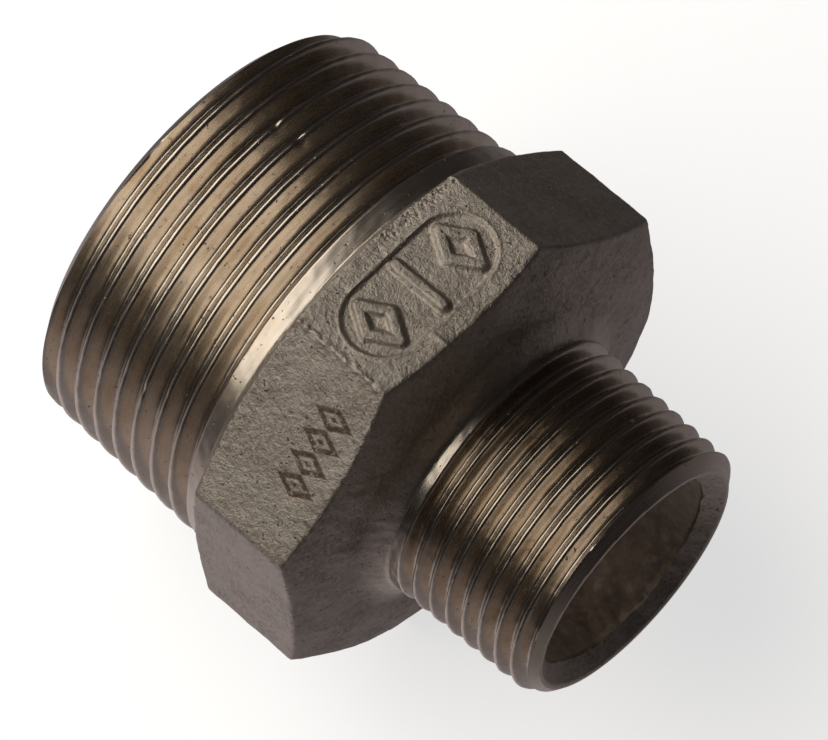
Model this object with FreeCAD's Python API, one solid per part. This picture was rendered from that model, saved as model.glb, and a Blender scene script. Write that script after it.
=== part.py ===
import FreeCAD, Part
import math
import os
from FreeCAD import Vector

# Eight-sided reducing nipple with taper pipe threads, R 1 1/4 by R 3/4. Lengths in millimetres.
# Both threads are right-hand Whitworth form, 55 degrees, on a 1:16 taper.
# The body is built standing on its large end, with its axis on Z and the marked flat facing -X.
# It is then laid down: small end towards +X, marked flat up, resting on the opposite flat at z = 0.

OVERALL_LENGTH = 51.0
TAPER = 1 / 32  # radius gained per millimetre away from either end face

LARGE_PITCH = 25.4 / 11
LARGE_GAUGE_DIAMETER = 41.910
LARGE_GAUGE_LENGTH = 12.7
LARGE_CREST_OFFSET = 1.41  # height of the first crest above the large face, on the +X side
LARGE_GROOVE_END = 19.4  # height at which the thread groove has run out
LARGE_CHAMFER = (1.4, 1.2)  # radial and axial

SMALL_PITCH = 25.4 / 14
SMALL_GAUGE_DIAMETER = 26.441
SMALL_GAUGE_LENGTH = 9.5
SMALL_CREST_OFFSET = 1.56  # depth of the first crest below the small face, on the +X side
SMALL_GROOVE_END = 15.45
SMALL_CHAMFER = (1.25, 0.9)

ACROSS_FLATS = 44.5
FLAT_COUNT = 8
CORNER_RADIUS = 0.5
SHOULDER_RADIUS = 21.2  # turned band behind the large thread
SHOULDER_START = 18.4
COLLAR_BACK = 20.75
COLLAR_BACK_AT_CORNER = 21.65
FACE_TOP = 33.7  # highest level of the domed front face, where the fillet up to the neck begins
FACE_TOP_RADIUS = 16.0
FACE_ARC_RADIUS = 18.15
NECK_TOP = 35.2  # level at which that fillet meets the turned neck

LARGE_BORE_RADIUS = 16.75
LARGE_BORE_DEPTH = 24.0
LARGE_BORE_BREAK = 0.4
SMALL_BORE_RADIUS = 10.0
SMALL_BORE_DEPTH = 18.0
SMALL_FLARE = 1.3

RUN_OUT_LIFT = 0.05  # the run-out starts this much shallower than the full groove

PAD_LENGTH = 15.6  # racetrack recess on the marked flat
PAD_WIDTH = 7.3
PAD_DEPTH = 0.3
PAD_HEIGHT = 26.9
MARK_STROKE = 1.0
MARK_LENGTH = 5.4
MARK_SPACING = 4.7


def crest_radius(gauge_diameter, gauge_length, distance):
    """Crest radius of a taper thread at a distance from its own end face."""
    return gauge_diameter / 2 + (distance - gauge_length) * TAPER


def groove_profile(pitch, crest):
    """Closed outline of one thread groove in the XZ plane, centred on z = 0."""
    round_radius = 0.137329 * pitch
    half_angle = math.radians(27.5)
    mouth = crest + 0.1
    root = crest - 0.640327 * pitch
    flank_start = root + round_radius * (1 - math.sin(half_angle))
    arc_half = round_radius * math.cos(half_angle)
    mouth_half = arc_half + (mouth - flank_start) * math.tan(half_angle)
    upper_mouth = Vector(mouth, 0, mouth_half)
    upper_root = Vector(flank_start, 0, arc_half)
    lower_root = Vector(flank_start, 0, -arc_half)
    lower_mouth = Vector(mouth, 0, -mouth_half)
    return Part.Wire([
        Part.makeLine(upper_mouth, upper_root),
        Part.Arc(upper_root, Vector(root, 0, 0), lower_root).toShape(),
        Part.makeLine(lower_root, lower_mouth),
        Part.makeLine(lower_mouth, upper_mouth),
    ])


def helical_groove(pitch, start_radius, slope, length):
    """Groove swept up a conical helix that starts on the +X side at z = 0."""
    helix = Part.makeLongHelix(pitch, length, start_radius, math.degrees(math.atan(slope)))
    sweep = Part.BRepOffsetAPI.MakePipeShell(helix)
    sweep.setFrenetMode(True)
    sweep.add(groove_profile(pitch, start_radius))
    sweep.build()
    sweep.makeSolid()
    return sweep.shape()


def thread_cutters(pitch, gauge_diameter, gauge_length, crest_offset, groove_end):
    """Full-depth groove from below the end face, then half a turn in which it runs out."""
    start = crest_offset - 2.5 * pitch
    length = groove_end - pitch / 2 - start
    radius = crest_radius(gauge_diameter, gauge_length, start)
    full = helical_groove(pitch, radius, TAPER, length)
    full.translate(Vector(0, 0, start))
    overlap = pitch / 60
    run_out_length = pitch / 2 + overlap
    rise = 0.640327 * pitch / run_out_length
    run_out = helical_groove(pitch, radius + length * TAPER + RUN_OUT_LIFT, rise, run_out_length)
    run_out.rotate(Vector(0, 0, 0), Vector(0, 0, 1), 360 * (length - overlap) / pitch)
    run_out.translate(Vector(0, 0, start + length - overlap))
    return [full, run_out]


def turned_blank():
    """Solid of revolution before the flats, threads, chamfers and bore are cut."""
    large_face = crest_radius(LARGE_GAUGE_DIAMETER, LARGE_GAUGE_LENGTH, 0)
    large_end = crest_radius(LARGE_GAUGE_DIAMETER, LARGE_GAUGE_LENGTH, SHOULDER_START)
    small_face = crest_radius(SMALL_GAUGE_DIAMETER, SMALL_GAUGE_LENGTH, 0)
    neck = crest_radius(SMALL_GAUGE_DIAMETER, SMALL_GAUGE_LENGTH, OVERALL_LENGTH - NECK_TOP)
    corner = ACROSS_FLATS / 2 / math.cos(math.pi / FLAT_COUNT)
    outside = corner + 0.2
    back_slope = (COLLAR_BACK_AT_CORNER - COLLAR_BACK) / (corner - SHOULDER_RADIUS)
    fillet_width = FACE_TOP_RADIUS - neck
    fillet_height = NECK_TOP - FACE_TOP
    fillet_radius = (fillet_width**2 + fillet_height**2) / (2 * fillet_height)
    half_angle = math.asin(fillet_width / fillet_radius) / 2

    def at(radius, height):
        return Vector(radius, 0, height)

    def on_face(radius):
        drop = FACE_ARC_RADIUS - math.sqrt(FACE_ARC_RADIUS**2 - (radius - FACE_TOP_RADIUS) ** 2)
        return at(radius, FACE_TOP - drop)

    lower = [
        at(0, 0),
        at(large_face, 0),
        at(large_end, SHOULDER_START),
        at(SHOULDER_RADIUS, SHOULDER_START + 0.3),
        at(SHOULDER_RADIUS, COLLAR_BACK),
        at(outside, COLLAR_BACK + back_slope * (outside - SHOULDER_RADIUS)),
        on_face(outside),
    ]
    fillet_foot = at(FACE_TOP_RADIUS, FACE_TOP)
    fillet_middle = at(
        FACE_TOP_RADIUS - fillet_radius * math.sin(half_angle),
        FACE_TOP + fillet_radius * (1 - math.cos(half_angle)),
    )
    upper = [
        at(neck, NECK_TOP),
        at(small_face, OVERALL_LENGTH),
        at(0, OVERALL_LENGTH),
        at(0, 0),
    ]
    edges = [Part.makeLine(a, b) for a, b in zip(lower, lower[1:])]
    edges.append(Part.Arc(lower[-1], on_face((outside + FACE_TOP_RADIUS) / 2), fillet_foot).toShape())
    edges.append(Part.Arc(fillet_foot, fillet_middle, upper[0]).toShape())
    edges += [Part.makeLine(a, b) for a, b in zip(upper, upper[1:])]
    return Part.Face(Part.Wire(edges)).revolve(Vector(0, 0, 0), Vector(0, 0, 1), 360)


def chamfer_ring(face_radius, chamfer):
    """Ring that turns off the outer edge of an end face lying at z = 0, material above it."""
    radial, axial = chamfer
    slope = axial / radial
    reach = 2.0
    outline = [
        Vector(face_radius - radial - reach, 0, -reach * slope),
        Vector(face_radius + reach, 0, (radial + reach) * slope),
        Vector(face_radius + reach, 0, -reach * slope),
        Vector(face_radius - radial - reach, 0, -reach * slope),
    ]
    return Part.Face(Part.makePolygon(outline)).revolve(Vector(0, 0, 0), Vector(0, 0, 1), 360)


def spanner_prism():
    """Eight-sided prism over the whole length, with its edges rounded and one flat facing +X."""
    corner = ACROSS_FLATS / 2 / math.cos(math.pi / FLAT_COUNT)
    turns = [(k + 0.5) * 2 * math.pi / FLAT_COUNT for k in range(FLAT_COUNT + 1)]
    points = [Vector(corner * math.cos(a), corner * math.sin(a), 0) for a in turns]
    prism = Part.Face(Part.makePolygon(points)).extrude(Vector(0, 0, OVERALL_LENGTH))
    uprights = [e for e in prism.Edges if abs(e.Vertexes[0].Z - e.Vertexes[-1].Z) > 1]
    return prism.makeFillet(CORNER_RADIUS, uprights)


def through_bore():
    """Large bore, cone and small bore, with the edges opened at both faces."""
    cone_top = OVERALL_LENGTH - SMALL_BORE_DEPTH
    outline = [
        Vector(0, 0, 0),
        Vector(LARGE_BORE_RADIUS + LARGE_BORE_BREAK, 0, 0),
        Vector(LARGE_BORE_RADIUS, 0, LARGE_BORE_BREAK),
        Vector(LARGE_BORE_RADIUS, 0, LARGE_BORE_DEPTH),
        Vector(SMALL_BORE_RADIUS, 0, cone_top),
        Vector(SMALL_BORE_RADIUS, 0, OVERALL_LENGTH - SMALL_FLARE),
        Vector(SMALL_BORE_RADIUS + SMALL_FLARE, 0, OVERALL_LENGTH),
        Vector(0, 0, OVERALL_LENGTH),
        Vector(0, 0, 0),
    ]
    return Part.Face(Part.makePolygon(outline)).revolve(Vector(0, 0, 0), Vector(0, 0, 1), 360)


def racetrack(length, width, depth):
    """Flat-sided slug with round ends, long axis along X, from y = 0 to y = depth."""
    half = (length - width) / 2
    bar = Part.makeBox(2 * half, depth, width, Vector(-half, 0, -width / 2))
    ends = [
        Part.makeCylinder(width / 2, depth, Vector(side * half, 0, 0), Vector(0, 1, 0))
        for side in (-1, 1)
    ]
    return bar.fuse(ends).removeSplitter()


def lozenge(length, width, depth):
    """Diamond slug, long axis along Z, from y = 0 to y = depth."""
    points = [(0, length / 2), (width / 2, 0), (0, -length / 2), (-width / 2, 0), (0, length / 2)]
    outline = Part.makePolygon([Vector(x, 0, z) for x, z in points])
    return Part.Face(outline).extrude(Vector(0, depth, 0))


def pad_recess():
    """Racetrack recess around three plain raised marks: a bar between two open lozenges."""
    recess = racetrack(PAD_LENGTH, PAD_WIDTH, PAD_DEPTH + 1)
    bar = racetrack(MARK_LENGTH, MARK_STROKE, PAD_DEPTH + 1)
    bar.rotate(Vector(0, 0, 0), Vector(0, 1, 0), 90)
    marks = [bar]
    for side in (-1, 1):
        mark = lozenge(MARK_LENGTH, 0.72 * MARK_LENGTH, PAD_DEPTH + 1)
        mark = mark.cut(lozenge(0.45 * MARK_LENGTH, 0.3 * MARK_LENGTH, PAD_DEPTH + 1))
        mark.translate(Vector(side * MARK_SPACING, 0, 0))
        marks.append(mark)
    recess = recess.cut(marks)
    recess.translate(Vector(0, -ACROSS_FLATS / 2 - 1, PAD_HEIGHT))
    recess.rotate(Vector(0, 0, 0), Vector(0, 0, 1), -90)
    return recess


def nipple_body():
    body = turned_blank().common(spanner_prism())
    body = body.cut(through_bore())
    body = body.cut(pad_recess())
    for cutter in thread_cutters(
        LARGE_PITCH, LARGE_GAUGE_DIAMETER, LARGE_GAUGE_LENGTH, LARGE_CREST_OFFSET, LARGE_GROOVE_END
    ):
        body = body.cut(cutter)
    for cutter in thread_cutters(
        SMALL_PITCH, SMALL_GAUGE_DIAMETER, SMALL_GAUGE_LENGTH, SMALL_CREST_OFFSET, SMALL_GROOVE_END
    ):
        cutter.rotate(Vector(0, 0, 0), Vector(1, 0, 0), 180)
        cutter.translate(Vector(0, 0, OVERALL_LENGTH))
        body = body.cut(cutter)
    large_face = crest_radius(LARGE_GAUGE_DIAMETER, LARGE_GAUGE_LENGTH, 0)
    small_face = crest_radius(SMALL_GAUGE_DIAMETER, SMALL_GAUGE_LENGTH, 0)
    small_ring = chamfer_ring(small_face, SMALL_CHAMFER)
    small_ring.rotate(Vector(0, 0, 0), Vector(1, 0, 0), 180)
    small_ring.translate(Vector(0, 0, OVERALL_LENGTH))
    return body.cut(chamfer_ring(large_face, LARGE_CHAMFER)).cut(small_ring)


os.makedirs("parts", exist_ok=True)
body = nipple_body()
body.rotate(Vector(0, 0, 0), Vector(0, 1, 0), 90)
body.translate(Vector(-OVERALL_LENGTH / 2, 0, ACROSS_FLATS / 2))
solid = body.Solids[0]
solid.exportStep("parts/reducing_nipple_body.step")
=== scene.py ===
"""Looks of the reducing nipple.

The real object is one casting with turned ends. It is shown here as three closed slices that meet
inside the metal: the large threaded end, the eight-sided collar and the small threaded end.
Lengths are in millimetres until a mesh is made. A point of the body is given by
  along:  distance from the large end face, towards +X
  turn:   angle about the axis in degrees, 0 at the top, 90 towards -Y
  radius: distance from the axis
"""

import math

import bpy
import numpy as np
from mathutils import Matrix, Vector


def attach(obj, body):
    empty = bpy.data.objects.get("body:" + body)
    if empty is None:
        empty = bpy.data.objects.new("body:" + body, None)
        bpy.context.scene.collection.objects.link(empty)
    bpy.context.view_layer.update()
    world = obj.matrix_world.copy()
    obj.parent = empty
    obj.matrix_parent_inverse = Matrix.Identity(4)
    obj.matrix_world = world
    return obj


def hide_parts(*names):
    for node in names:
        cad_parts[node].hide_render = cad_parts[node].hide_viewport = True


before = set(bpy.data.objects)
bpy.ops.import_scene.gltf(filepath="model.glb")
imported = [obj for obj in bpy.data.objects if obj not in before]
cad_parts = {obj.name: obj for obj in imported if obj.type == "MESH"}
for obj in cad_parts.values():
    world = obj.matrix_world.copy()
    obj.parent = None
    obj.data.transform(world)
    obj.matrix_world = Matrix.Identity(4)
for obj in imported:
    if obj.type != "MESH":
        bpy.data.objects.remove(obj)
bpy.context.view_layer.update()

NODE = "reducing_nipple_body"
MM = 0.001

# ---------------------------------------------------------------- sizes of the object

LENGTH = 51.0
TAPER = 1 / 32
FLATS = 8
APOTHEM = 22.25
CORNER_SHARPNESS = 700.0  # a higher value makes the octagon's corners sharper
SOFT_CORNER_TURN = 67.5
SOFT_CORNER_SHARPNESS = 260.0

LARGE_PITCH = 25.4 / 11
LARGE_FACE_RADIUS = 20.558
LARGE_CREST_AT_TOP = 2.565
LARGE_GROOVE_END = 19.4
LARGE_RIM_RADIUS = 18.9
LARGE_BORE_RADIUS = 16.75
LARGE_BORE_END = 24.0
LARGE_BREAK = 0.4  # radius taken off the bore's edge at the end face
LARGE_BREAK_LENGTH = 0.6  # how far that reaches into the bore

SMALL_PITCH = 25.4 / 14
SMALL_FACE_RADIUS = 12.924
SMALL_CREST_AT_TOP = 48.533
SMALL_GROOVE_END = 35.5
SMALL_RIM_RADIUS = 11.6
SMALL_BORE_RADIUS = 10.0
SMALL_BORE_START = 33.0
FLARE = 1.3
FLARE_LIP = 0.14  # how far the flare's inner edge stands in from the bore
FLARE_LIP_LENGTH = 0.35  # how far behind that edge the plain bore begins

SHOULDER_START = 18.4
SHOULDER_RADIUS = 21.2
NECK_RADIUS = SMALL_FACE_RADIUS + 15.8 * TAPER
SHOULDER_CUT = 20.4  # where the large slice meets the collar slice
NECK_CUT = 35.3  # where the collar slice meets the small slice
COLLAR_BACK = 20.75
BACK_SLOPE = 0.31  # rise of the collar's back face per millimetre of radius
FACE_TOP = 33.7  # highest level of the domed front face, where the fillet up to the neck begins
FACE_TOP_RADIUS = 16.0
FACE_ARC_RADIUS = 18.15  # radius of the face's arc, from FACE_TOP_RADIUS outwards
NECK_TOP = 35.2  # level at which that fillet meets the turned neck
FILLET_SKIM = 0.6  # how far the tool has skimmed the fillet's inner edge, 0 to 1
LUMPS_START = 32.4  # the front face's lumps grow from this level
LUMPS_FULL = 33.2  # to this one

# on the marked flat: a racetrack recess with three raised marks
PAD_CENTRE = 26.9
PAD_HALF_LENGTH = 7.8
PAD_HALF_WIDTH = 3.65
PAD_DEPTH = 0.26
MARK_HEIGHT = 0.42  # above the floor of the recess
MARK_HALF_HEIGHT = 2.7
MARK_HALF_WIDTH = 1.75
MARK_SPACING = 4.8

# on the same flat: a ridge along one edge, a gate's scar in front of the recess, and a pitted strip
# behind it
RIDGE_TURN = 22.4
RIDGE_HEIGHT = 0.09
RIDGE_START = 21.4
RIDGE_END = 31.6
SCAR_ACROSS = 2.5
SCAR_START = 30.5
STRIP_START = 21.1
STRIP_END = 22.9

# dents in the thread crests: (along, turn), size, depth
LARGE_DENTS = (((9.5, -10.0), 0.35, 0.3), ((7.1, -9.0), 0.3, 0.2), ((12.0, 62.0), 0.3, 0.15))
SMALL_DENTS = (((47.2, 18.0), 0.25, 0.15), ((44.0, -40.0), 0.3, 0.2))

LARGE_CHAMFER_RISE = 1.45  # radius gained per millimetre along the large end's chamfer
SMALL_CHAMFER_RISE = 1.35

# four small burnt marks on the next flat
ETCH_ALONG = 29.15
ETCH_CENTRE = 0.95  # towards the top, from the middle of its flat
ETCH_PITCH = 2.3
ETCH_HALF_WIDTH = 0.86
ETCH_HALF_HEIGHT = 1.6

WHITWORTH_DEPTH = 0.640327  # of the pitch
WHITWORTH_ROUNDING = 0.137329  # of the pitch
WHITWORTH_HALF_ANGLE = math.radians(27.5)

FLOOR_GLOW = 0.68
GLOW_DIRECTION = (-0.35, -0.45, -0.8)  # of the stronger glow in front of the object

# columns in each flat's 45 degrees, from the underside round to the underside again
FIRST_TURN = 157.5
COLUMNS_PER_FLAT = (30, 30, 42, 90, 170, 150, 52, 30)


# ---------------------------------------------------------------- small maths helpers

def smooth_step(value, low, high):
    """0 below low, 1 above high, smooth between."""
    t = np.clip((value - low) / (high - low), 0, 1)
    return t * t * (3 - 2 * t)


def smooth_min(a, b, softness):
    """The smaller value, rounded where the two are closer than softness."""
    h = np.clip(0.5 + 0.5 * (b - a) / softness, 0, 1)
    return b + (a - b) * h - softness * h * (1 - h)


def ripple(points, wavelength, seed, waves=14):
    """Smooth noise of unit size: plane waves in random directions, near one wavelength."""
    rng = np.random.default_rng(seed)
    directions = rng.normal(size=(waves, 3))
    directions /= np.linalg.norm(directions, axis=1)[:, None]
    lengths = wavelength * rng.uniform(0.7, 1.4, waves)
    phases = rng.uniform(0, 2 * math.pi, waves)
    total = np.zeros(points.shape[:-1])
    for direction, length, phase in zip(directions, lengths, phases):
        total += np.sin(points @ (direction * 2 * math.pi / length) + phase)
    return total / math.sqrt(waves / 2)


def position(along, turn, radius):
    """Points in millimetres, in the row frame's directions, with the origin on the axis."""
    angle = np.radians(turn)
    return np.stack([along - LENGTH / 2, -radius * np.sin(angle), radius * np.cos(angle)], axis=-1)


def collar_turns():
    """Column angles of the collar, once round, the first one repeated at the end."""
    turns, start = [], FIRST_TURN
    for count in COLUMNS_PER_FLAT:
        turns.append(start + np.arange(count) * 45 / count)
        start += 45
    return np.concatenate([*turns, [start]])


COLLAR_TURNS = collar_turns()


# ---------------------------------------------------------------- the outer surface

def thread_depth(offset, pitch):
    """Depth below the crest of a Whitworth thread, at an axial offset from the crest."""
    depth = WHITWORTH_DEPTH * pitch
    rounding = WHITWORTH_ROUNDING * pitch
    tangent = rounding * math.cos(WHITWORTH_HALF_ANGLE)
    arc_drop = rounding * (1 - math.sin(WHITWORTH_HALF_ANGLE))
    crest_side = np.abs(offset)
    root_side = pitch / 2 - crest_side
    crest = rounding - np.sqrt(np.maximum(rounding**2 - np.minimum(crest_side, tangent) ** 2, 0))
    root = rounding - np.sqrt(np.maximum(rounding**2 - np.minimum(root_side, tangent) ** 2, 0))
    flank = arc_drop + (crest_side - tangent) / math.tan(WHITWORTH_HALF_ANGLE)
    return np.where(crest_side < tangent, crest, np.where(root_side < tangent, depth - root, flank))


def threaded_radius(along, turn, pitch, crest_at_top, crest, run_out):
    """Crest radius less the groove. run_out gives its depth, 0 to 1, where its middle is."""
    phase = (along - crest_at_top) / pitch - turn / 360
    groove = crest_at_top + pitch * (np.floor(phase) + 0.5 + turn / 360)
    offset = (phase - np.round(phase)) * pitch
    full_depth = WHITWORTH_DEPTH * pitch
    depth = thread_depth(offset, pitch) - (1 - run_out(groove)) * full_depth
    return crest - np.maximum(depth, 0)


def dent(along, turn, radius, at, size, depth):
    """Depth of a round dent at a given (along, turn)."""
    across = np.radians((turn - at[1] + 180) % 360 - 180) * radius
    return depth * np.exp(-((along - at[0]) ** 2 + (across * 0.8) ** 2) / size**2)


def large_end_radius(along, turn):
    """Thread, shoulder and chamfer of the large end."""
    crest = LARGE_FACE_RADIUS + along * TAPER
    crest = np.where(along > SHOULDER_START, SHOULDER_RADIUS, crest)

    def run_out(groove):
        return np.clip((LARGE_GROOVE_END - groove) / (LARGE_PITCH / 2), 0, 1)

    radius = threaded_radius(along, turn, LARGE_PITCH, LARGE_CREST_AT_TOP, crest, run_out)
    points = position(along, turn, radius)
    radius = radius + 0.012 * ripple(points, 3.0, 11) + 0.006 * ripple(points, 0.9, 12)
    for at, size, depth in LARGE_DENTS:
        radius = radius - dent(along, turn, radius, at, size, depth)
    chamfer = LARGE_RIM_RADIUS + along * LARGE_CHAMFER_RISE
    return smooth_min(radius, chamfer, 0.06)


def small_end_radius(along, turn):
    """Thread and chamfer of the small end."""
    from_face = LENGTH - along
    crest = SMALL_FACE_RADIUS + from_face * TAPER

    def run_out(groove):
        return np.clip((groove - SMALL_GROOVE_END) / (SMALL_PITCH / 2), 0, 1)

    radius = threaded_radius(along, turn, SMALL_PITCH, SMALL_CREST_AT_TOP, crest, run_out)
    points = position(along, turn, radius)
    radius = radius + 0.010 * ripple(points, 2.4, 21) + 0.006 * ripple(points, 0.8, 22)
    for at, size, depth in SMALL_DENTS:
        radius = radius - dent(along, turn, radius, at, size, depth)
    chamfer = SMALL_RIM_RADIUS + from_face * SMALL_CHAMFER_RISE
    return smooth_min(radius, chamfer, 0.06)


# ---------------------------------------------------------------- the collar

def flat_radius(turn):
    """Radius of the rounded octagon at an angle, with a softer corner below the etched flat."""
    angle = np.radians(turn)
    distances = [np.cos(angle - k * 2 * math.pi / FLATS) for k in range(FLATS)]
    near_soft = np.abs(turn % 360 - SOFT_CORNER_TURN) < 20
    sharpness = np.where(near_soft, SOFT_CORNER_SHARPNESS, CORNER_SHARPNESS)
    top = np.maximum.reduce(distances)
    total = sum(np.exp(sharpness * (d - top)) for d in distances)
    return APOTHEM / (top + np.log(total) / sharpness)


def face_level(radius):
    """Level of the domed front face."""
    height = np.sqrt(FACE_ARC_RADIUS**2 - (radius - FACE_TOP_RADIUS) ** 2)
    return FACE_TOP - FACE_ARC_RADIUS + height


def fillet_points(count):
    """(along, radius, skimmed) up the fillet to the neck, halfway between an arc and a cone."""
    width = FACE_TOP_RADIUS - NECK_RADIUS
    height = NECK_TOP - FACE_TOP
    fillet_radius = (width**2 + height**2) / (2 * height)
    points = []
    for t in np.linspace(0, 1, count):
        arc = fillet_radius - math.sqrt(fillet_radius**2 - (t * width) ** 2)
        along = FACE_TOP + (arc + t * height) / 2
        points.append((along, FACE_TOP_RADIUS - t * width, FILLET_SKIM * t))
    return points


def segment_distance(x, y, start, end):
    """Distance of each point (x, y) from a straight line between two points."""
    (ax, ay), (bx, by) = start, end
    length_squared = (bx - ax) ** 2 + (by - ay) ** 2
    t = np.clip(((x - ax) * (bx - ax) + (y - ay) * (by - ay)) / length_squared, 0, 1)
    return np.hypot(x - ax - t * (bx - ax), y - ay - t * (by - ay))


def lozenge_distance(x, y, half_width, half_height):
    """Distance of each point (x, y) from a lozenge's outline, centred on (0, 0)."""
    corners = [(0, half_height), (half_width, 0), (0, -half_height), (-half_width, 0)]
    sides = zip(corners, corners[1:] + corners[:1])
    return np.minimum.reduce([segment_distance(x, y, a, b) for a, b in sides])


def raised_marks(across, height):
    """Height, 0 to 1, of three plain marks: an upright bar between two open lozenges."""
    bar = segment_distance(across, height, (0, -MARK_HALF_HEIGHT), (0, MARK_HALF_HEIGHT))
    half_width = MARK_HALF_WIDTH - 0.3
    half_height = MARK_HALF_HEIGHT - 0.3
    rings = [
        lozenge_distance(across - side * MARK_SPACING, height, half_width, half_height)
        for side in (-1, 1)
    ]
    distance = np.minimum.reduce([bar, *rings])
    return 1 - smooth_step(distance, 0.28, 0.8)


def marked_flat_relief(across, along):
    """Relief of the marked flat: recess, raised marks, gate's scar and pitted strip."""
    height = along - PAD_CENTRE
    straight = PAD_HALF_LENGTH - PAD_HALF_WIDTH
    edge = np.hypot(np.maximum(np.abs(across) - straight, 0), height) - PAD_HALF_WIDTH
    recess = -PAD_DEPTH * (1 - smooth_step(edge, -0.2, 0.05))
    lip = 0.05 * np.exp(-((edge - 0.12) ** 2) / 0.02)
    marks = MARK_HEIGHT * raised_marks(across, height) * (edge < 0)
    points = np.stack([across, along, 0 * along], axis=-1)
    pits = smooth_step(ripple(points, 0.5, 31) * ripple(points, 0.33, 32), 0.2, 1.4)
    strip = smooth_step(along, STRIP_START, STRIP_START + 0.4)
    strip = strip * (1 - smooth_step(along, STRIP_END - 0.9, STRIP_END))
    strip = strip * (1 - smooth_step(across, -1, 2))
    scar = 0.09 * np.exp(-(((across - SCAR_ACROSS) / 0.22) ** 2))
    scar = scar * smooth_step(along, SCAR_START, SCAR_START + 0.6)
    return recess + lip + marks + scar - strip * (0.06 + 0.16 * pits)


def collar_rows():
    """Places of the rows, 0 to 1, up a flat and in over the front face: fine at the edges."""
    flat = np.unique(np.concatenate([
        np.linspace(0, 0.08, 9),
        np.linspace(0.08, 0.92, 62),
        np.linspace(0.92, 1, 9),
    ]))
    face = np.unique(np.concatenate([
        np.linspace(0, 0.1, 8),
        np.linspace(0.1, 1, 24),
    ]))
    return flat, face


def collar_surface():
    """Rows of (along, radius, machined) from the shoulder to the neck, one value per column."""
    every_column = np.zeros_like(COLLAR_TURNS)
    corner = flat_radius(COLLAR_TURNS)
    back = COLLAR_BACK + BACK_SLOPE * (corner - SHOULDER_RADIUS)
    front = face_level(corner)
    front += 0.05 * ripple(position(32 + every_column, COLLAR_TURNS, corner), 1.4, 40)
    flat_steps, face_steps = collar_rows()
    rows = []
    # the end of the turned shoulder
    for t in np.linspace(0, 1, 4):
        along = SHOULDER_CUT + t * 0.3 + every_column
        radius = SHOULDER_RADIUS + 0.08 * t**3 + every_column
        rows.append((along, radius, 1 - t))
    # the back face
    for t in np.linspace(0, 1, 8)[1:-1]:
        radius = SHOULDER_RADIUS + 0.1 + t * (corner - SHOULDER_RADIUS - 0.1)
        rows.append((SHOULDER_CUT + 0.33 + t * (back - SHOULDER_CUT - 0.33), radius, 0.0))
    # the flats, then the front face
    for t in flat_steps:
        rows.append((back + t * (front - back), corner, 0.0))
    for t in face_steps[1:]:
        radius = corner + t * (FACE_TOP_RADIUS - corner)
        rows.append((face_level(radius), radius, 0.0))
    # the fillet, then the turned neck
    for along, radius, skimmed in fillet_points(12)[1:]:
        rows.append((along + every_column, radius + every_column, skimmed))
    for t in np.linspace(0, 1, 3)[1:]:
        along = NECK_TOP + t * (NECK_CUT - NECK_TOP) + every_column
        rows.append((along, small_end_radius(along, COLLAR_TURNS), t))
    along = np.array([row[0] for row in rows])
    radius = np.array([row[1] for row in rows])
    machined = np.array([row[2] + every_column for row in rows])
    along, radius = soften(along, radius)
    return roughen(along, radius, machined)


def soften(along, radius):
    """Rounds the cast edges by averaging each row with its neighbours. The ends stay put."""
    for _ in range(9):
        for values in (along, radius):
            values[3:-4] = 0.25 * values[2:-5] + 0.5 * values[3:-4] + 0.25 * values[4:-3]
    return along, radius


def roughen(along, radius, machined):
    """Adds the cast skin and the marked flat's relief along the surface normal."""
    turn = COLLAR_TURNS + 0 * along
    slope_along = np.gradient(along, axis=0)
    slope_radius = np.gradient(radius, axis=0)
    length = np.hypot(slope_along, slope_radius) + 1e-9
    normal_along, normal_radius = -slope_radius / length, slope_along / length
    points = position(along, turn, radius)
    skin = 0.020 * ripple(points, 3.4, 41)
    skin += 0.007 * ripple(points, 1.1, 42)
    skin += 0.004 * ripple(points, 0.5, 43)
    from_top = (turn + 180) % 360 - 180
    across = radius * np.sin(np.radians(from_top))
    at_flat = radius * np.cos(np.radians(from_top)) > APOTHEM - 0.15
    on_marked = (np.abs(from_top) < RIDGE_TURN) & at_flat
    relief = np.where(on_marked, marked_flat_relief(across, along), 0.0)
    ridge_height = RIDGE_HEIGHT + 0.03 * ripple(points, 0.6, 44)
    ridge_centre = RIDGE_TURN + 0.25 * ripple(points, 0.9, 45)
    on_flat = smooth_step(along, RIDGE_START, RIDGE_START + 0.6) * (radius > APOTHEM)
    on_flat = on_flat * (1 - smooth_step(along, RIDGE_END - 0.6, RIDGE_END))
    ridge = ridge_height * np.exp(-((from_top - ridge_centre) ** 2) / 0.30) * on_flat
    on_face = smooth_step(along, LUMPS_START, LUMPS_FULL)
    face_lumps = 0.05 * ripple(points, 5.0, 46) + 0.02 * ripple(points, 1.6, 47)
    cast = (skin + face_lumps * on_face) * (1 - machined)
    shift = cast + relief + ridge
    rows = len(along)
    fade = np.minimum(1, np.minimum(np.arange(rows) / 3, np.arange(rows)[::-1] / 3))[:, None]
    shift = shift * fade
    return list(zip(along + shift * normal_along, radius + shift * normal_radius, machined))


# ---------------------------------------------------------------- the bore

def bore_radius(along, turn):
    """Large bore, cone and small bore, with the roughness of the casting."""
    cone = (along - LARGE_BORE_END) / (SMALL_BORE_START - LARGE_BORE_END)
    radius = LARGE_BORE_RADIUS + np.clip(cone, 0, 1) * (SMALL_BORE_RADIUS - LARGE_BORE_RADIUS)
    points = position(along, turn, radius)
    cast = 0.05 * ripple(points, 3.5, 51) + 0.03 * ripple(points, 1.2, 52)
    return radius + cast


# ---------------------------------------------------------------- closed slices

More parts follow.
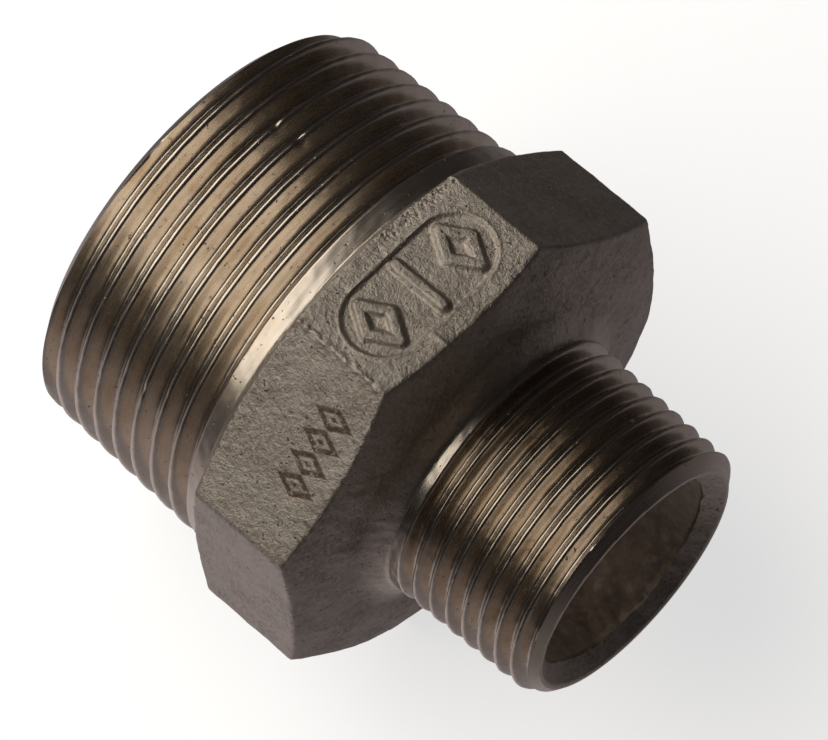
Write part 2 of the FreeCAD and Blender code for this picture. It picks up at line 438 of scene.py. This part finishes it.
def thread_offsets(pitch, crest_steps=4, flank_steps=5, root_steps=3):
    """Axial offsets from a crest, over one pitch, that put rows on each arc and flank."""
    tangent = WHITWORTH_ROUNDING * pitch * math.cos(WHITWORTH_HALF_ANGLE)
    half = np.concatenate([
        np.linspace(0, tangent, crest_steps + 1)[:-1],
        np.linspace(tangent, pitch / 2 - tangent, flank_steps + 1)[:-1],
        np.linspace(pitch / 2 - tangent, pitch / 2, root_steps + 1),
    ])
    return np.concatenate([-half[::-1], half[1:-1]])


def threaded_rows(turn, start, end, pitch, crest_at_top, surface):
    """Rows that follow the helix from start to end, clamped at both."""
    first = math.floor((start - crest_at_top) / pitch - 2)
    last = math.ceil((end - crest_at_top) / pitch + 1)
    levels = [start + 0 * turn]
    for winding in range(first, last + 1):
        for offset in thread_offsets(pitch):
            free = crest_at_top + pitch * (winding + turn / 360) + offset
            if free.min() < end and free.max() > start:
                levels.append(np.clip(free, start, end))
    levels.append(end + 0 * turn)
    return [(along, surface(along, turn), 1.0) for along in levels]


def straight_rows(first, last, count):
    """count rows in a straight line between two rows, both left out."""
    steps = np.linspace(0, 1, count + 2)[1:-1]
    return [tuple(a + (b - a) * t for a, b in zip(first, last)) for t in steps]


def bore_rows(turn, start, end, count):
    """Rows along the bore, rough as cast."""
    rows = []
    for level in np.linspace(start, end, count):
        along = level + 0 * turn
        rows.append((along, bore_radius(along, turn), 0.0))
    return rows


def closed_mesh(name, turn, outer, inner):
    """A closed ring whose section runs along the outer rows and back through the inner ones.

    Each row is (along, radius, turned). Faces between inner rows take the second material.
    """
    rows = outer + inner
    along = np.array([row[0] for row in rows])
    radius = np.array([row[1] for row in rows])
    turned = np.array([row[2] + 0 * turn for row in rows])
    points = (position(along, turn, radius) + [0, 0, APOTHEM]).reshape(-1, 3)
    _, keep, welded = np.unique(np.round(points, 4), axis=0, return_index=True, return_inverse=True)
    welded = welded.reshape(along.shape)
    following = np.roll(welded, -1, axis=0)
    quads = np.stack([welded[:, :-1], welded[:, 1:], following[:, 1:], following[:, :-1]], axis=-1)
    row_slot = (np.arange(len(rows)) >= len(outer)).astype(int)
    faces, slots = [], []
    for slot, row in zip(row_slot.tolist(), quads.tolist()):
        for quad in row:
            corners = list(dict.fromkeys(quad))
            if len(corners) > 2:
                faces.append(corners)
                slots.append(slot)
    mesh = bpy.data.meshes.new(name)
    mesh.from_pydata((points[keep] * MM).tolist(), [], faces)
    mesh.polygons.foreach_set("material_index", slots)
    mesh.polygons.foreach_set("use_smooth", [True] * len(faces))
    attribute = mesh.attributes.new("turned", "FLOAT", "POINT")
    attribute.data.foreach_set("value", turned.reshape(-1)[keep].astype(np.float32))
    mesh.set_sharp_from_angle(angle=math.radians(50))
    mesh.update()
    return mesh


def make_piece(name, turn, outer, inner, materials):
    """One slice of the body, in place of the body's CAD mesh."""
    piece = bpy.data.objects.new(name, closed_mesh(name, turn, outer, inner))
    bpy.context.scene.collection.objects.link(piece)
    for material in materials:
        piece.data.materials.append(material)
    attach(piece, "root")
    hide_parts(NODE)
    return piece


def even_turns(count):
    """Angles once round, the first one repeated at the end."""
    return FIRST_TURN + np.linspace(0, 360, count + 1)


def make_large_end(materials):
    turn = even_turns(360)
    outer = threaded_rows(turn, 0, SHOULDER_CUT, LARGE_PITCH, LARGE_CREST_AT_TOP, large_end_radius)
    bore = bore_rows(turn, SHOULDER_CUT, LARGE_BREAK_LENGTH, 34)
    mouth = (0 * turn, bore_radius(0 * turn, turn) + LARGE_BREAK, 1.0)
    inner = bore + [mouth] + straight_rows(mouth, outer[0], 4)
    outer += straight_rows(outer[-1], bore[0], 2)
    return make_piece("large_end", turn, outer, inner, materials)


def make_collar(materials):
    outer = collar_surface()
    bore = bore_rows(COLLAR_TURNS, NECK_CUT, SHOULDER_CUT, 28)
    outer = outer + straight_rows(outer[-1], bore[0], 2)
    inner = bore + straight_rows(bore[-1], outer[0], 2)
    return make_piece("collar", COLLAR_TURNS, outer, inner, materials)


def make_small_end(materials):
    turn = even_turns(300)
    outer = threaded_rows(turn, NECK_CUT, LENGTH, SMALL_PITCH, SMALL_CREST_AT_TOP, small_end_radius)
    points = position(LENGTH + 0 * turn, turn, SMALL_BORE_RADIUS)
    wander = 0.07 * ripple(points, 3.2, 61) + 0.03 * ripple(points, 1.1, 62)
    rim = (LENGTH + 0 * turn, SMALL_BORE_RADIUS + FLARE + 0.3 * wander, 0.6)
    outer = outer + straight_rows(outer[-1], rim, 1) + [rim]
    lip_level = LENGTH - FLARE + wander
    lip = (lip_level, bore_radius(lip_level, turn) - FLARE_LIP, 0.0)
    flare = straight_rows(rim, lip, 8)
    outer += [(along, radius, 0.0) for along, radius, _ in flare] + [lip]
    bore = bore_rows(turn, LENGTH - FLARE - FLARE_LIP_LENGTH, NECK_CUT, 40)
    inner = bore + straight_rows(bore[-1], outer[0], 2)
    return make_piece("small_end", turn, outer, inner, materials)


# ---------------------------------------------------------------- materials

class Graph:
    """Builds a node tree. A node's values are numbers, colours or other nodes' outputs."""

    def __init__(self, owner):
        self.owner = owner
        owner.use_nodes = True
        self.tree = owner.node_tree
        self.tree.nodes.clear()

    def node(self, kind, inputs, output=0, **settings):
        made = self.tree.nodes.new(kind)
        for key, value in settings.items():
            setattr(made, key, value)
        for key, value in inputs.items():
            if isinstance(value, bpy.types.NodeSocket):
                self.tree.links.new(value, made.inputs[key])
            else:
                made.inputs[key].default_value = value
        return made.outputs[output]

    def math(self, operation, a, b=0.0, c=0.0):
        """c is used only by three-value operations."""
        return self.node("ShaderNodeMath", {0: a, 1: b, 2: c}, operation=operation)

    def vector(self, operation, a, b=(0, 0, 0)):
        return self.node("ShaderNodeVectorMath", {0: a, 1: b}, operation=operation)

    def noise(self, where, scale, detail=3.0, roughness=0.55, **settings):
        inputs = {"Vector": where, "Scale": scale, "Detail": detail, "Roughness": roughness}
        return self.node("ShaderNodeTexNoise", inputs, **settings)

    def step(self, value, low, high, to_low=0.0, to_high=1.0):
        span = {"From Min": low, "From Max": high, "To Min": to_low, "To Max": to_high}
        inputs = {"Value": value, **span}
        return self.node("ShaderNodeMapRange", inputs, interpolation_type="SMOOTHSTEP")

    def mix(self, factor, a, b):
        return self.node("ShaderNodeMix", {0: factor, 6: a, 7: b}, output=2, data_type="RGBA")

    def blend(self, factor, a, b):
        return self.node("ShaderNodeMix", {0: factor, 2: a, 3: b}, data_type="FLOAT")

    def bump(self, height):
        return self.node("ShaderNodeBump", {"Height": height, "Distance": 1.0, "Strength": 1.0})

    def finish(self, colour, roughness, normal, metallic=1.0):
        inputs = {"Base Color": colour, "Roughness": roughness, "Metallic": metallic}
        shader = self.node("ShaderNodeBsdfPrincipled", {**inputs, "Normal": normal})
        output = self.tree.nodes.new("ShaderNodeOutputMaterial")
        self.tree.links.new(shader, output.inputs["Surface"])
        return self.owner


def millimetres(graph):
    """Place on the object in millimetres, measured from its axis."""
    place = graph.node("ShaderNodeTexCoord", {}, output="Object")
    scaled = graph.node("ShaderNodeVectorMath", {0: place, "Scale": 1 / MM}, operation="SCALE")
    return graph.vector("SUBTRACT", scaled, (0, 0, APOTHEM))


def cast_skin(graph, where):
    """Colour, roughness and height in millimetres of the grainy cast surface."""
    grain = graph.noise(where, 2.3, 4, 0.65)
    fine = graph.noise(where, 7.0, 3, 0.6)
    cloud = graph.noise(where, 0.16, 3, 0.6)
    pits = graph.step(graph.noise(where, 2.6, 2, 0.5), 0.64, 0.74)
    colour = graph.mix(graph.step(cloud, 0.35, 0.65), (0.36, 0.305, 0.25, 1), (0.47, 0.41, 0.35, 1))
    colour = graph.mix(graph.step(grain, 0.35, 0.7), colour, (0.55, 0.49, 0.43, 1))
    colour = graph.mix(graph.math("MULTIPLY", pits, 0.75), colour, (0.12, 0.09, 0.075, 1))
    roughness = graph.math("MULTIPLY_ADD", fine, 0.25, 0.38)
    height = graph.math("MULTIPLY_ADD", grain, 0.12, graph.math("MULTIPLY", fine, 0.05))
    height = graph.math("SUBTRACT", height, graph.math("MULTIPLY", pits, 0.06))
    return colour, roughness, height


def turned_metal(graph, where):
    """Colour, roughness and height in millimetres of the turned surface, with its tool lines and a
    small end darkened towards brown, partly its own tint and partly painted shade.
    """
    stretched = graph.vector("MULTIPLY", where, (9.0, 0.10, 0.10))
    lines = graph.noise(stretched, 1.0, 3, 0.6)
    wide = graph.noise(graph.vector("MULTIPLY", where, (2.2, 0.05, 0.05)), 1.0, 2, 0.5)
    stain = graph.noise(where, 0.22, 4, 0.65)
    specks = graph.step(graph.noise(where, 2.4, 2, 0.5), 0.68, 0.76)
    colour = graph.mix(graph.step(stain, 0.40, 0.66), (0.62, 0.54, 0.45, 1), (0.54, 0.45, 0.35, 1))
    paler = graph.math("MULTIPLY", graph.step(wide, 0.35, 0.7), 0.5)
    colour = graph.mix(paler, colour, (0.62, 0.56, 0.50, 1))
    x = graph.node("ShaderNodeSeparateXYZ", {"Vector": where})
    # painted shade: the small end's turned metal is darkened towards brown, partly a deeper tint of
    # its own and partly to dim its highlights
    neck_x = NECK_CUT - LENGTH / 2
    small_end_tint_and_shade = graph.step(x, neck_x - 0.5, neck_x + 1.5, 0.0, 0.25)
    colour = graph.mix(small_end_tint_and_shade, colour, (0.24, 0.18, 0.13, 1))
    colour = graph.mix(graph.math("MULTIPLY", specks, 0.8), colour, (0.10, 0.075, 0.06, 1))
    shoulder_x = SHOULDER_START - LENGTH / 2
    shoulder_begins = graph.step(x, shoulder_x - 0.7, shoulder_x - 0.1)
    shoulder_ends = graph.step(x, shoulder_x + 3.1, shoulder_x + 4.1, 1.0, 0.0)
    shoulder = graph.math("MULTIPLY", shoulder_begins, shoulder_ends)
    roughness = graph.math("MULTIPLY_ADD", lines, 0.2, 0.17)
    roughness = graph.math("MULTIPLY_ADD", shoulder, 0.05, roughness)
    line_height = graph.step(shoulder, 0.0, 1.0, 0.006, 0.012)
    height = graph.math("MULTIPLY_ADD", lines, line_height, graph.math("MULTIPLY", specks, -0.03))
    return colour, roughness, height


def outside_material():
    """Cast skin, turned metal where the mesh says so, and the burnt marks."""
    graph = Graph(bpy.data.materials.new("cast_and_turned_metal"))
    where = millimetres(graph)
    turned = graph.node("ShaderNodeAttribute", {}, output="Fac", attribute_name="turned")
    cast_colour, cast_roughness, cast_height = cast_skin(graph, where)
    turned_colour, turned_roughness, turned_height = turned_metal(graph, where)
    colour = graph.mix(turned, cast_colour, turned_colour)
    roughness = graph.blend(turned, cast_roughness, turned_roughness)
    height = graph.blend(turned, cast_height, turned_height)
    mark = etched_marks(graph, where)
    colour = graph.mix(graph.math("MULTIPLY", mark, 0.85), colour, (0.13, 0.075, 0.045, 1))
    roughness = graph.blend(mark, roughness, 0.6)
    height = graph.math("MULTIPLY_ADD", height, MM, graph.math("MULTIPLY", mark, -0.03 * MM))
    return graph.finish(colour, roughness, graph.bump(height))


def etched_marks(graph, where):
    """Strength, 0 to 1, of four small lozenges with a dot each, burnt into the flat towards -Y."""
    turned_flat = graph.node(
        "ShaderNodeVectorRotate",
        {"Vector": where, "Center": (0, 0, 0), "Angle": math.radians(-45)},
        rotation_type="X_AXIS",
    )
    x, y, z = graph.node("ShaderNodeSeparateXYZ", {"Vector": turned_flat}).node.outputs
    across = graph.math("ADD", y, -ETCH_CENTRE)
    cell = graph.math("DIVIDE", across, ETCH_PITCH)
    local = graph.math("MULTIPLY", graph.math("PINGPONG", cell, 0.5), ETCH_PITCH)
    local = graph.math("SUBTRACT", ETCH_PITCH / 2, local)
    height = graph.math("ABSOLUTE", graph.math("SUBTRACT", x, ETCH_ALONG - LENGTH / 2))
    diamond = graph.math(
        "ADD",
        graph.math("DIVIDE", local, ETCH_HALF_WIDTH),
        graph.math("DIVIDE", height, ETCH_HALF_HEIGHT),
    )
    from_outline = graph.math("ABSOLUTE", graph.math("SUBTRACT", diamond, 1.0))
    outline = graph.step(from_outline, 0.16, 0.46, 1, 0)
    dot = graph.step(diamond, 0.12, 0.4, 1, 0)
    shape = graph.math("MAXIMUM", outline, dot)
    inside = graph.math("LESS_THAN", graph.math("ABSOLUTE", across), 2 * ETCH_PITCH)
    on_flat = graph.math("GREATER_THAN", z, APOTHEM - 0.6)
    ragged = graph.step(graph.noise(where, 2.0, 3, 0.6), 0.28, 0.5)
    shape = graph.math("MULTIPLY", shape, inside)
    return graph.math("MULTIPLY", shape, graph.math("MULTIPLY", on_flat, ragged))


def bore_material():
    """Dull, stained casting."""
    graph = Graph(bpy.data.materials.new("bore_casting"))
    where = millimetres(graph)
    grain = graph.noise(where, 1.2, 5, 0.65)
    stain = graph.noise(where, 0.25, 4, 0.6)
    colour = graph.mix(graph.step(stain, 0.35, 0.65), (0.40, 0.33, 0.28, 1), (0.56, 0.48, 0.41, 1))
    colour = graph.mix(graph.step(grain, 0.4, 0.7), colour, (0.62, 0.55, 0.49, 1))
    roughness = graph.math("MULTIPLY_ADD", grain, 0.25, 0.4)
    normal = graph.bump(graph.math("MULTIPLY", grain, 0.12 * MM))
    return graph.finish(colour, roughness, normal, metallic=0.75)


# ---------------------------------------------------------------- floor, light and camera

def make_floor():
    """A wide pale floor just below the object, bright enough to read as a plain backdrop."""
    size = 3.0
    mesh = bpy.data.meshes.new("floor")
    corners = [(-size, -size, 0), (size, -size, 0), (size, size, 0), (-size, size, 0)]
    mesh.from_pydata(corners, [], [(0, 1, 2, 3)])
    floor = bpy.data.objects.new("floor", mesh)
    bpy.context.scene.collection.objects.link(floor)
    material = bpy.data.materials.new("floor_white")
    material.use_nodes = True
    shader = material.node_tree.nodes["Principled BSDF"]
    shader.inputs["Base Color"].default_value = (0.86, 0.86, 0.86, 1)
    shader.inputs["Roughness"].default_value = 0.9
    shader.inputs["Emission Color"].default_value = (1, 1, 1, 1)
    shader.inputs["Emission Strength"].default_value = FLOOR_GLOW
    mesh.materials.append(material)
    floor.location.z = -0.0002
    floor.visible_glossy = False


def make_light(name, direction, distance, size, power, colour):
    """A soft square lamp that faces the object from a direction."""
    lamp = bpy.data.lights.new(name, "AREA")
    lamp.shape = "RECTANGLE"
    lamp.size, lamp.size_y = size
    lamp.energy = power
    lamp.color = colour
    light = bpy.data.objects.new(name, lamp)
    away = Vector(direction).normalized()
    light.location = away * distance + Vector((0, 0, APOTHEM * MM))
    light.rotation_euler = away.to_track_quat("Z", "Y").to_euler()
    bpy.context.scene.collection.objects.link(light)


def make_world():
    """Near darkness above, a dim grey glow from below and a stronger one from low in front."""
    world = bpy.data.worlds.new("studio")
    bpy.context.scene.world = world
    graph = Graph(world)
    direction = graph.node("ShaderNodeTexCoord", {}, output="Generated")

    def glow(towards, low, high, strength):
        axis = tuple(Vector(towards).normalized())
        inputs = {0: direction, 1: axis}
        facing = graph.node("ShaderNodeVectorMath", inputs, output="Value", operation="DOT_PRODUCT")
        return graph.step(facing, low, high, 0.0, strength)

    below = glow((0.15, 0.1, -1), 0.1, 0.9, 0.2)
    front = glow(GLOW_DIRECTION, 0.6, 1.0, 0.42)
    strength = graph.math("ADD", graph.math("ADD", below, front), 0.02)
    inputs = {"Color": (0.98, 0.90, 0.95, 1), "Strength": strength}
    background = graph.node("ShaderNodeBackground", inputs)
    output = graph.tree.nodes.new("ShaderNodeOutputWorld")
    graph.tree.links.new(background, output.inputs["Surface"])


def make_camera():
    """Looks down on the object from beyond its small end, a little rolled, through a long lens."""
    azimuth, elevation, roll = map(math.radians, (47.20, 63.18, -3.76))
    target = Vector((-1.4, 1.333, 23.228)) * MM
    distance = 553.77 * MM
    away = Vector((
        math.sin(azimuth) * math.cos(elevation),
        -math.cos(azimuth) * math.cos(elevation),
        math.sin(elevation),
    ))
    data = bpy.data.cameras.new("camera")
    data.lens = 283.04
    data.sensor_width = 36
    data.sensor_fit = "HORIZONTAL"
    data.clip_start = 0.01
    camera = bpy.data.objects.new("camera", data)
    place = Matrix.Translation(target + away * distance)
    aim = away.to_track_quat("Z", "Y").to_matrix().to_4x4()
    camera.matrix_world = place @ aim @ Matrix.Rotation(roll, 4, "Z")
    bpy.context.scene.collection.objects.link(camera)
    bpy.context.scene.camera = camera


materials = [outside_material(), bore_material()]
make_large_end(materials)
make_collar(materials)
make_small_end(materials)
make_floor()
make_light("key", (-0.6, -0.33, 0.72), 0.6, (1.0, 0.5), 2.85, (1.0, 0.96, 0.89))
make_world()
make_camera()
bpy.context.scene.view_settings.view_transform = "Standard"
